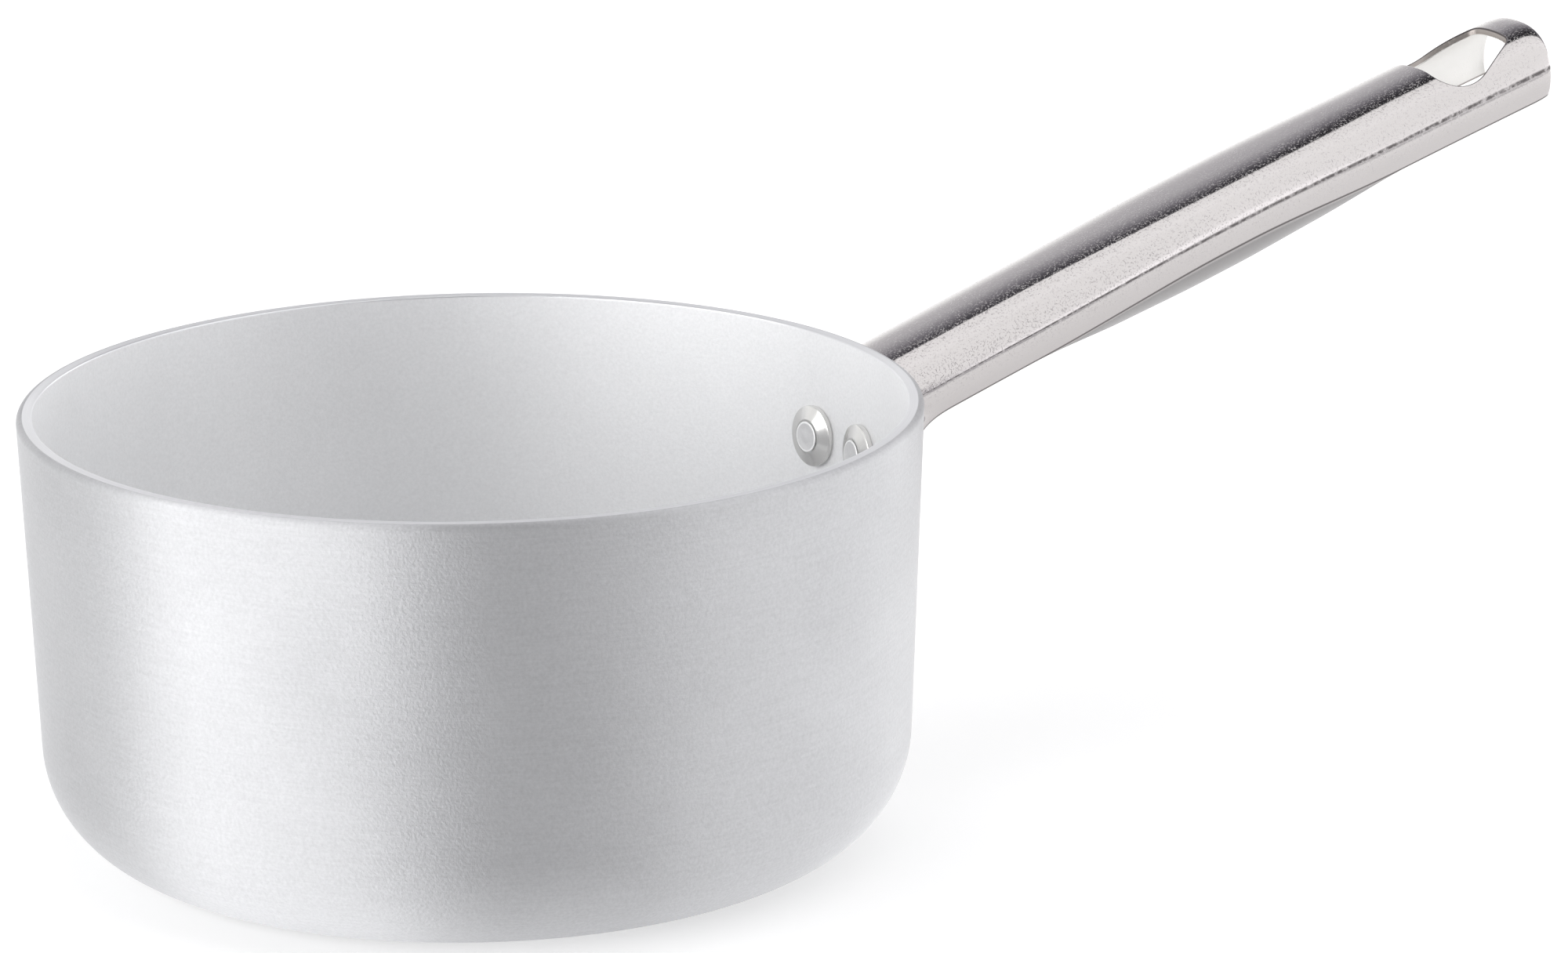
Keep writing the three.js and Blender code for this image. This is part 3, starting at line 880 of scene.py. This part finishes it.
def mixed(tree, first, second, share):
    """A share of the first value and the rest of the second."""
    return calculate(tree, "MULTIPLY_ADD", first, share, calculate(tree, "MULTIPLY", second, 1 - share))


def ranged(tree, value, over, to=(0.0, 1.0)):
    """A value that goes over one range, spread evenly to another, and held at its ends beyond."""
    node = add(tree, "MapRange")
    join(tree, node, Value=value, From_Min=over[0], From_Max=over[1], To_Min=to[0], To_Max=to[1])
    return node.outputs["Result"]


def along_way(tree, place, direction):
    """How far a place lies along a direction: their dot product."""
    dot = add(tree, "VectorMath", operation="DOT_PRODUCT")
    for socket, value in zip(dot.inputs, (place, direction)):
        feed(tree, socket, value)
    return dot.outputs["Value"]


def noise(tree, vector, scale, harshness):
    """Noise about a half at a scale in waves per metre."""
    node = add(tree, "TexNoise")
    join(tree, node, Vector=vector, Scale=scale, Detail=NOISE_DETAIL, Roughness=harshness)
    return node.outputs["Fac"]


def turning_lines_group():
    """Marks left by a turning tool: noise drawn out round the axis and close along the section."""
    inputs = [("Vector", "Vector"), ("Along", "Float"), ("Lines", "Float"), ("Round", "Float")]
    tree, given, result = new_group("turning_lines", inputs, ["Marks"])
    place = join(tree, add(tree, "SeparateXYZ"), Vector=given.outputs["Vector"])
    drawn = join(
        tree,
        add(tree, "CombineXYZ"),
        X=calculate(tree, "MULTIPLY", place.outputs["X"], given.outputs["Round"]),
        Y=calculate(tree, "MULTIPLY", place.outputs["Y"], given.outputs["Round"]),
        Z=calculate(tree, "MULTIPLY", given.outputs["Along"], given.outputs["Lines"]),
    )
    marks = noise(tree, drawn.outputs[0], 1.0, LINES_HARSHNESS)
    tree.links.new(marks, result.inputs["Marks"])
    return tree


def grain_group():
    """Fine even grain, with a slower cloud that makes it lighter and darker."""
    inputs = [("Vector", "Vector"), ("Grains", "Float")]
    tree, given, result = new_group("grain", inputs, ["Grain", "Cloud"])
    vector = given.outputs["Vector"]
    grains = given.outputs["Grains"]
    clouds = calculate(tree, "MULTIPLY", grains, CLOUDS_PER_GRAIN)
    tree.links.new(noise(tree, vector, grains, GRAIN_HARSHNESS), result.inputs["Grain"])
    tree.links.new(noise(tree, vector, clouds, CLOUD_HARSHNESS), result.inputs["Cloud"])
    return tree


class Finish:
    """A bare-metal material: a Principled shader and the places that its patterns read."""

    def __init__(self, name, color, roughness, metallic=1.0, brushed=0.0):
        self.material = bpy.data.materials.new(name)
        self.material.use_nodes = True
        self.tree = self.material.node_tree
        self.shader = self.tree.nodes["Principled BSDF"]
        self.color = color
        self.roughness = roughness
        join(self.tree, self.shader, Base_Color=(*color, 1), Roughness=roughness, Metallic=metallic)
        if brushed:
            join(self.tree, self.shader, Anisotropic=brushed, Anisotropic_Rotation=QUARTER_TURN)
        self.place = add(self.tree, "TexCoord").outputs["Object"]

    def attribute(self, name, kind="Fac"):
        """A value that the points of the piece carry."""
        return add(self.tree, "Attribute", attribute_name=name).outputs[kind]

    def group(self, tree, **inputs):
        """Places a shared node group in the material. Gives its outputs."""
        node = self.tree.nodes.new("ShaderNodeGroup")
        node.node_tree = tree
        return join(self.tree, node, Vector=self.place, **inputs).outputs

    def grained(self, grain, per_metre):
        """Gives the grain at a number of grains per metre, and its slow cloud."""
        outputs = self.group(grain, Grains=per_metre)
        return outputs["Grain"], outputs["Cloud"]

    def turned_about_z(self, lines, per_metre, per_metre_round):
        """Lays the brushed lines of the finish round Z. Gives the marks of the turning tool, by their number
        per metre of the section and per metre round it."""
        tangent = add(self.tree, "Tangent", direction_type="RADIAL", axis="Z")
        join(self.tree, self.shader, Tangent=tangent.outputs[0])
        along = self.attribute("along")
        return self.group(lines, Along=along, Lines=per_metre, Round=per_metre_round)["Marks"]

    def toned(self, value, spread):
        """Lightens and darkens the colour by a share as a value goes from 0 to 1."""
        dark = (*[c * (1 - spread) for c in self.color], 1)
        light = (*[min(1, c * (1 + spread)) for c in self.color], 1)
        mix = join(self.tree, add(self.tree, "MixRGB"), Fac=value, Color1=dark, Color2=light)
        join(self.tree, self.shader, Base_Color=mix.outputs[0])

    def roughened(self, value, spread):
        """Makes the finish rougher as a value goes from a quarter to three quarters."""
        ends = (self.roughness - spread, self.roughness + spread)
        join(self.tree, self.shader, Roughness=ranged(self.tree, value, (0.25, 0.75), ends))

    def changed(self, mask, color, roughness):
        """Turns the finish into another colour and roughness where a mask is 1."""
        for label, kind, value in (("Base Color", "RGBA", (*color, 1)), ("Roughness", "FLOAT", roughness)):
            socket = self.shader.inputs[label]
            mix = add(self.tree, "Mix", data_type=kind)
            ends = [end for end in mix.inputs if end.enabled]
            for end, given in zip(ends, (mask, socket.links[0].from_socket, value)):
                feed(self.tree, end, given)
            self.tree.links.new([end for end in mix.outputs if end.enabled][0], socket)

    def bumped(self, height, depth):
        """Raises the surface by a depth in metres as a height goes from 0 to 1."""
        bump = join(self.tree, add(self.tree, "Bump"), Height=height, Distance=depth, Strength=1.0)
        join(self.tree, self.shader, Normal=bump.outputs["Normal"])


def turned_outside(lines, grain):
    """Satin aluminium, brushed round the wall, so that its highlights stand up and down it."""
    finish = Finish("turned_aluminium", color=(0.675, 0.678, 0.69), roughness=0.6, brushed=0.9)
    marks = finish.turned_about_z(lines, per_metre=2600.0, per_metre_round=110.0)
    specks, cloud = finish.grained(grain, per_metre=1600.0)
    marks_height = 0.35
    finish.toned(mixed(finish.tree, marks, specks, share=0.3), spread=0.2)
    finish.roughened(cloud, spread=0.03)
    finish.bumped(calculate(finish.tree, "MULTIPLY_ADD", marks, marks_height, specks), depth=7.0e-5)
    return finish.material


def faced_rim(lines, grain):
    """Brighter aluminium of the rim, which was faced last."""
    finish = Finish("faced_aluminium", color=(0.81, 0.814, 0.826), roughness=0.45, brushed=0.7)
    marks = finish.turned_about_z(lines, per_metre=3500.0, per_metre_round=30.0)
    specks, cloud = finish.grained(grain, per_metre=2600.0)
    finish.toned(marks, spread=0.05)
    finish.roughened(cloud, spread=0.03)
    finish.bumped(calculate(finish.tree, "ADD", marks, specks), depth=3e-6)
    return finish.material


def grained_inside(lines, grain):
    """Matt aluminium inside the pan, fine-grained, with only a trace of turning. Its dull skin is only partly
    metallic."""
    finish = Finish("grained_aluminium", color=(0.845, 0.848, 0.853), roughness=0.6,
                    metallic=0.6, brushed=0.2)
    marks = finish.turned_about_z(lines, per_metre=1800.0, per_metre_round=40.0)
    specks, cloud = finish.grained(grain, per_metre=1700.0)
    marks_height = 0.3
    finish.toned(mixed(finish.tree, specks, cloud, share=0.7), spread=0.14)
    finish.roughened(cloud, spread=0.04)
    finish.bumped(calculate(finish.tree, "MULTIPLY_ADD", marks, marks_height, specks), depth=3.0e-5)
    return finish.material


def polished_handle(grain):
    """Polished stainless sheet: bright, with the slight ripple and the small pits of a pressed and buffed
    strip. It has painted dark reflections along its crease and fold and a darker, duller one under the fold,
    painted shade on the lip of its hole, and it is pale inside and matt along its sheared edges."""
    finish = Finish("polished_steel", color=(0.545, 0.522, 0.517), roughness=0.09)
    tree = finish.tree
    past_fold, cut, inside, lip, past_crease = [finish.attribute(name) for name in HANDLE_MARKS]
    ripple, cloud = finish.grained(grain, per_metre=900.0)
    fine, _ = finish.grained(grain, per_metre=2600.0)
    ripple_height = 0.3
    pits = ranged(tree, fine, PIT_FADE)
    under = ranged(tree, past_fold, UNDER_FADE)
    painted_fold_line = ranged(tree, calculate(tree, "ABSOLUTE", past_fold), FOLD_FADE, (1.0, 0.0))
    painted_crease_line = ranged(tree, calculate(tree, "ABSOLUTE", past_crease), CREASE_FADE, (1.0, 0.0))
    painted_crease_line = calculate(tree, "MULTIPLY", painted_crease_line, ranged(tree, ripple, CREASE_BREAKS, CREASE_STRENGTH))
    finish.toned(cloud, spread=0.04)
    finish.roughened(cloud, spread=0.03)
    # Painted dark reflection along the crease
    finish.changed(painted_crease_line, **PAINTED_DARK_REFLECTION)
    # Painted dark reflection: the flap past the fold is made dark grey and duller
    finish.changed(under, color=(0.3, 0.29, 0.29), roughness=0.3)
    # Painted dark reflection along the fold
    finish.changed(painted_fold_line, **PAINTED_DARK_REFLECTION)
    finish.changed(inside, color=(0.82, 0.81, 0.79), roughness=0.5)
    # Painted shade: the lip of the hole is made nearly black
    finish.changed(lip, color=(0.1, 0.09, 0.09), roughness=0.3)
    finish.changed(cut, color=(0.36, 0.33, 0.31), roughness=0.42)
    finish.bumped(calculate(tree, "MULTIPLY_ADD", ripple, ripple_height, pits), depth=1.8e-5)
    return finish.material


def polished_washer(grain):
    """Bright turned steel of the washers, brushed round their own axes."""
    finish = Finish("washer_steel", color=(0.68, 0.674, 0.66), roughness=0.16, brushed=0.75)
    join(finish.tree, finish.shader, Tangent=finish.attribute("round", "Vector"))
    specks, cloud = finish.grained(grain, per_metre=2500.0)
    finish.toned(cloud, spread=0.04)
    finish.roughened(cloud, spread=0.03)
    finish.bumped(specks, depth=3e-6)
    return finish.material


def headed_rivet(grain):
    """Matt aluminium of the rivets, as the press leaves it."""
    finish = Finish("headed_aluminium", color=(0.8, 0.8, 0.8), roughness=0.45)
    specks, cloud = finish.grained(grain, per_metre=2500.0)
    finish.toned(specks, spread=0.08)
    finish.roughened(cloud, spread=0.05)
    finish.bumped(specks, depth=1.0e-5)
    return finish.material


# Studio


TO_CAMERA = Matrix.Rotation(-HANDLE_TURN, 3, "Z") @ Vector((0, -1, 0))
TO_RIGHT = Matrix.Rotation(-HANDLE_TURN, 3, "Z") @ Vector((1, 0, 0))


def toward(azimuth, elevation):
    """A direction by its angle to the right of the camera's direction and above the horizon, in degrees."""
    a, e = math.radians(azimuth), math.radians(elevation)
    level = math.cos(a) * TO_CAMERA + math.sin(a) * TO_RIGHT
    return math.cos(e) * level + math.sin(e) * Vector((0, 0, 1))


def make_camera():
    """The photograph's camera: it stands before the pan's axis, turned by yaw, pitch and roll."""
    ahead = Vector((
        math.sin(CAMERA_YAW) * math.cos(CAMERA_PITCH),
        math.cos(CAMERA_YAW) * math.cos(CAMERA_PITCH),
        -math.sin(CAMERA_PITCH),
    ))
    right = Vector((math.cos(CAMERA_YAW), -math.sin(CAMERA_YAW), 0))
    up = right.cross(ahead)
    rolled_right = math.cos(CAMERA_ROLL) * right + math.sin(CAMERA_ROLL) * up
    rolled_up = math.cos(CAMERA_ROLL) * up - math.sin(CAMERA_ROLL) * right
    turn = Matrix((rolled_right, rolled_up, -ahead)).transposed().to_4x4()
    stand = Matrix.Translation((0, -CAMERA_DISTANCE, CAMERA_HEIGHT))
    data = bpy.data.cameras.new("photo_camera")
    data.lens = CAMERA_LENS
    data.sensor_width = SENSOR_WIDTH
    camera = put_object("photo_camera", data)
    camera.matrix_world = Matrix.Rotation(-HANDLE_TURN, 4, "Z") @ stand @ turn
    bpy.context.scene.camera = camera


def make_softbox(name, azimuth, elevation, distance, width, height, brightness):
    """A soft box that faces the pan. Its power is pi times its area times the brightness of its face."""
    data = bpy.data.lights.new(name, "AREA")
    data.shape = "RECTANGLE"
    data.size = width
    data.size_y = height
    data.energy = math.pi * width * height * brightness
    lamp = put_object(name, data)
    lamp.visible_camera = False
    way = toward(azimuth, elevation)
    lamp.location = Vector(SOFTBOX_AIM) + distance * way
    lamp.rotation_euler = way.to_track_quat("Z", "Y").to_euler()


def make_world():
    """The room: a white sweep behind the pan, a little brighter low down, with a dark panel high over it to
    the right, and a side where the camera stands that is dim above a pale band along the horizon."""
    world = bpy.data.worlds.new("studio")
    world.use_nodes = True
    tree = world.node_tree
    place = add(tree, "TexCoord").outputs["Generated"]

    def faded(value, levels):
        """Grey levels at the stops of a value, the darker the more violet."""
        fade = add(tree, "ValToRGB")
        ramp = fade.color_ramp
        while len(ramp.elements) < len(levels):
            ramp.elements.new(0.5)
        for element, (position, level) in zip(ramp.elements, levels):
            element.position = position
            less_red, less_green = [1 - tint * (1 - level) for tint in SHADE_TINT]
            element.color = (level * less_red, level * less_green, level, 1)
        return join(tree, fade, Fac=value).outputs[0]

    height = along_way(tree, place, Vector((0, 0, 1)))
    behind = along_way(tree, place, toward(*BACK_AIM))
    front = faded(height, FRONT_LEVELS)
    back = faded(along_way(tree, place, toward(*PANEL_AIM)), BACK_LEVELS)
    low = ranged(tree, height, LIFT_HEIGHT, (BACK_LIFT, 0.0))
    lift = calculate(tree, "MULTIPLY", low, ranged(tree, behind, LIFT_FADE))
    mix = join(tree, add(tree, "MixRGB"), Fac=ranged(tree, behind, BACK_FADE), Color1=front, Color2=back)
    strength = calculate(tree, "ADD", lift, 1.0)
    join(tree, tree.nodes["Background"], Color=mix.outputs[0], Strength=strength)
    bpy.context.scene.world = world


def make_floor():
    """A wide pale floor. It glows a little to the eye and in reflections, and more towards the back, so that
    it looks white, and it keeps the pan's shadow."""
    turn = full_turn(FLOOR_SIDES)
    drop = np.full_like(turn, -FLOOR_DROP)
    points = np.stack([FLOOR_REACH * np.cos(turn), FLOOR_REACH * np.sin(turn), drop], -1)
    mesh = bpy.data.meshes.new("floor")
    mesh.from_pydata(points.tolist(), [], [list(range(FLOOR_SIDES))])
    material = bpy.data.materials.new("floor_white")
    material.use_nodes = True
    tree = material.node_tree
    tree.nodes.remove(tree.nodes["Principled BSDF"])
    path = add(tree, "LightPath")
    seen = calculate(tree, "MAXIMUM", path.outputs["Is Camera Ray"], path.outputs["Is Glossy Ray"])
    seen = calculate(tree, "MAXIMUM", seen, path.outputs["Is Transmission Ray"])
    paper = join(tree, add(tree, "BsdfDiffuse"), Color=(*FLOOR_PAPER, 1))
    away = along_way(tree, add(tree, "TexCoord").outputs["Object"], toward(180, 0))
    level = ranged(tree, away, FLOOR_GLOW_REACH, FLOOR_GLOW)
    glow = join(tree, add(tree, "Emission"), Strength=calculate(tree, "MULTIPLY", seen, level))
    both = add(tree, "AddShader")
    for socket, shader in zip(both.inputs, (paper, glow)):
        tree.links.new(shader.outputs[0], socket)
    join(tree, tree.nodes["Material Output"], Surface=both.outputs[0])
    mesh.materials.append(material)
    put_object("floor", mesh)


def build():
    """Makes the whole scene."""
    bpy.context.scene.view_settings.view_transform = "Standard"
    make_camera()
    make_world()
    make_floor()
    for name, setting in SOFTBOXES.items():
        make_softbox(name, **setting)

    lines = turning_lines_group()
    grain = grain_group()
    make_pan([turned_outside(lines, grain), faced_rim(lines, grain), grained_inside(lines, grain)])
    make_handle(polished_handle(grain))
    rivet_finish = headed_rivet(grain)
    washer_finish = polished_washer(grain)
    for name, across, z in rivet_spots():
        make_rivet(name, across, z, rivet_finish)
        make_washer(name, across, z, washer_finish)


build()
